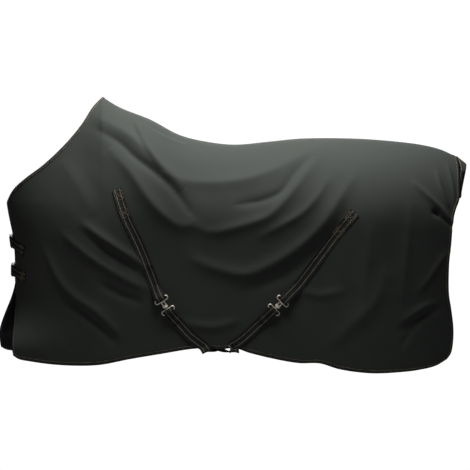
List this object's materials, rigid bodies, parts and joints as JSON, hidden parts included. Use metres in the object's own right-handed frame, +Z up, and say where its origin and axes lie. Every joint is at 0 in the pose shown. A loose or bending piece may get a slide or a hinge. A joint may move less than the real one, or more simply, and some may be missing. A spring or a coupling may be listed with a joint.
{
  "type": "turnout rug",
  "caption": "Horse turnout rug in its worn shape: two-half shell with wadding and lining, bound edges, tail flap, crossed belly surcingles and chest straps with hook clasps, leg-strap rings.",
  "frame": {"origin": "where the underside of the lining rests on the middle of the horse's back", "axes": "+X towards the tail, +Z up, -Y the horse's left (near) side"},
  "size_m": [1.8139, 0.6517, 1.0366],
  "materials": {
    "shell_cloth": "ripstop polyester, coated, soft sheen",
    "wadding": "polyester fibre wadding",
    "lining": "smooth nylon lining",
    "binding": "woven tape with tan stitching",
    "webbing": "woven webbing with two beige pinstripes",
    "nickel": "nickel plate, warm and slightly worn"
  },
  "bodies": {
    "rug": {"outer_shell_left": "shell_cloth", "outer_shell_right": "shell_cloth", "wadding_shoulder_left": "wadding", "wadding_shoulder_right": "wadding", "wadding_barrel_left": "wadding", "wadding_barrel_right": "wadding", "wadding_quarters_left": "wadding", "wadding_quarters_right": "wadding", "lining_left": "lining", "lining_right": "lining", "neck_binding_left": "binding", "neck_binding_right": "binding", "hem_binding_left": "binding", "hem_binding_right": "binding", "upper_chest_tab": "webbing", "lower_chest_tab": "webbing", "front_surcingle_tab": "webbing", "rear_surcingle_tab": "webbing", "upper_chest_strap": "webbing", "lower_chest_strap": "webbing", "front_belly_strap": "webbing", "rear_belly_strap": "webbing", "leg_ring_tab_left": "webbing", "leg_ring_tab_right": "webbing"},
    "tail_flap": {"tail_flap": "shell_cloth", "tail_flap_binding": "binding"},
    "upper_chest_eye": {"upper_chest_eye": "nickel", "upper_chest_loop": "webbing"},
    "upper_chest_hook": {"upper_chest_hook": "nickel"},
    "lower_chest_eye": {"lower_chest_eye": "nickel", "lower_chest_loop": "webbing"},
    "lower_chest_hook": {"lower_chest_hook": "nickel"},
    "front_surcingle_eye": {"front_surcingle_eye": "nickel", "front_surcingle_loop": "webbing"},
    "front_surcingle_hook": {"front_surcingle_hook": "nickel"},
    "rear_surcingle_eye": {"rear_surcingle_eye": "nickel", "rear_surcingle_loop": "webbing"},
    "rear_surcingle_hook": {"rear_surcingle_hook": "nickel"},
    "front_belly_strap_adjuster": {"front_belly_strap_adjuster": "nickel"},
    "rear_belly_strap_adjuster": {"rear_belly_strap_adjuster": "nickel"},
    "leg_ring_left": {"leg_ring_left": "nickel"},
    "leg_ring_right": {"leg_ring_right": "nickel"}
  },
  "joints": [
    {"name": "tail_flap_lift", "type": "hinge", "parent": "rug", "child": "tail_flap", "pos_m": [0.8604, 0, -0.0365], "axis": [0, -1, 0], "range_deg": [0, 60]},
    {"name": "upper_chest_eye_lift", "type": "hinge", "parent": "rug", "child": "upper_chest_eye", "pos_m": [-0.85673, -0.03, -0.36139], "axis": [-0.1156, 0, 0.9933], "range_deg": [0, 22]},
    {"name": "upper_chest_hook_slide", "type": "slide", "parent": "upper_chest_eye", "child": "upper_chest_hook", "axis": [0, -1, 0], "range_m": [0, 0.007]},
    {"name": "lower_chest_eye_lift", "type": "hinge", "parent": "rug", "child": "lower_chest_eye", "pos_m": [-0.85252, -0.03, -0.47017], "axis": [0.0064, 0, 1], "range_deg": [0, 22]},
    {"name": "lower_chest_hook_slide", "type": "slide", "parent": "lower_chest_eye", "child": "lower_chest_hook", "axis": [0, -1, 0], "range_m": [0, 0.007]},
    {"name": "front_surcingle_eye_lift", "type": "hinge", "parent": "rug", "child": "front_surcingle_eye", "pos_m": [-0.28993, -0.3031, -0.56168], "axis": [-0.8432, 0.0658, -0.5335], "range_deg": [0, 22]},
    {"name": "front_surcingle_hook_slide", "type": "slide", "parent": "front_surcingle_eye", "child": "front_surcingle_hook", "axis": [-0.5303, 0.0616, 0.8456], "range_m": [0, 0.007]},
    {"name": "rear_surcingle_eye_lift", "type": "hinge", "parent": "rug", "child": "rear_surcingle_eye", "pos_m": [0.1638, -0.32271, -0.56671], "axis": [-0.7027, 0.0202, 0.7112], "range_deg": [0, 22]},
    {"name": "rear_surcingle_hook_slide", "type": "slide", "parent": "rear_surcingle_eye", "child": "rear_surcingle_hook", "axis": [0.7114, 0.0041, 0.7028], "range_m": [0, 0.007]},
    {"name": "front_belly_strap_adjuster_slide", "type": "slide", "parent": "rug", "child": "front_belly_strap_adjuster", "axis": [0.6158, -0.0134, 0.7878], "range_m": [-0.025, 0.025]},
    {"name": "rear_belly_strap_adjuster_slide", "type": "slide", "parent": "rug", "child": "rear_belly_strap_adjuster", "axis": [-0.3542, -0.0568, 0.9335], "range_m": [-0.025, 0.025]},
    {"name": "leg_ring_left_swing", "type": "hinge", "parent": "rug", "child": "leg_ring_left", "pos_m": [0.75889, -0.21794, -0.58739], "axis": [0.9108, 0.4128, 0], "range_deg": [0, 80]},
    {"name": "leg_ring_right_swing", "type": "hinge", "parent": "rug", "child": "leg_ring_right", "pos_m": [0.75889, 0.21794, -0.58739], "axis": [-0.9108, 0.4128, 0], "range_deg": [0, 80]}
  ]
}
